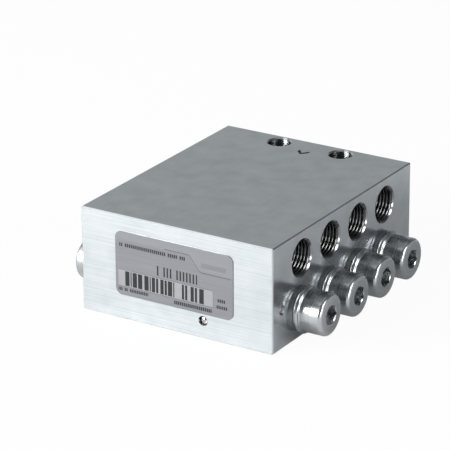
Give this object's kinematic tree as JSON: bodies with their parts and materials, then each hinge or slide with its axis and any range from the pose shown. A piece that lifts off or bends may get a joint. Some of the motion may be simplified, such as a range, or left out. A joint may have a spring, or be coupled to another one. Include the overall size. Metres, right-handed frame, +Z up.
{
  "type": "lubricant divider block",
  "caption": "Steel progressive divider block whose metering pistons pass lubricant from one inlet to threaded side outlets in turn, with screw plugs over the bore ends.",
  "frame": {"origin": "centre of the block's underside", "axes": "+X along the pistons, to the right of the label face; +Y from the label face to the inlet; +Z up"},
  "size_m": [0.078, 0.0752, 0.03],
  "materials": {
    "zinc_steel": "satin, zinc plated",
    "label_foil": "satin printed foil",
    "ground_steel": "ground",
    "turned_steel": "turned and polished, zinc plated",
    "washer_steel": "satin",
    "ball_steel": "polished",
    "dark_steel": "blackened"
  },
  "bodies": {
    "block": {"housing_block": "zinc_steel", "label_plate": "label_foil", "left_plug_1": "turned_steel", "left_plug_2": "turned_steel", "left_plug_3": "turned_steel", "left_plug_4": "turned_steel", "right_plug_1": "turned_steel", "right_plug_2": "turned_steel", "right_plug_3": "turned_steel", "right_plug_4": "turned_steel", "left_washer_1": "washer_steel", "left_washer_2": "washer_steel", "left_washer_3": "washer_steel", "left_washer_4": "washer_steel", "right_washer_1": "washer_steel", "right_washer_2": "washer_steel", "right_washer_3": "washer_steel", "right_washer_4": "washer_steel", "outlet_pin_1": "dark_steel", "outlet_pin_2": "dark_steel", "outlet_pin_3": "dark_steel", "outlet_pin_4": "dark_steel", "front_ball_plug": "ball_steel", "side_ball_plug": "ball_steel"},
    "piston_1": {"piston_1": "ground_steel"},
    "piston_2": {"piston_2": "ground_steel"},
    "piston_3": {"piston_3": "ground_steel"},
    "piston_4": {"piston_4": "ground_steel"}
  },
  "joints": [
    {"name": "piston_1_slide", "type": "slide", "parent": "block", "child": "piston_1", "axis": [1, 0, 0], "range_m": [0, 0.004]},
    {"name": "piston_2_slide", "type": "slide", "parent": "block", "child": "piston_2", "axis": [1, 0, 0], "range_m": [0, 0.004]},
    {"name": "piston_3_slide", "type": "slide", "parent": "block", "child": "piston_3", "axis": [1, 0, 0], "range_m": [0, 0.004]},
    {"name": "piston_4_slide", "type": "slide", "parent": "block", "child": "piston_4", "axis": [1, 0, 0], "range_m": [0, 0.004]}
  ]
}
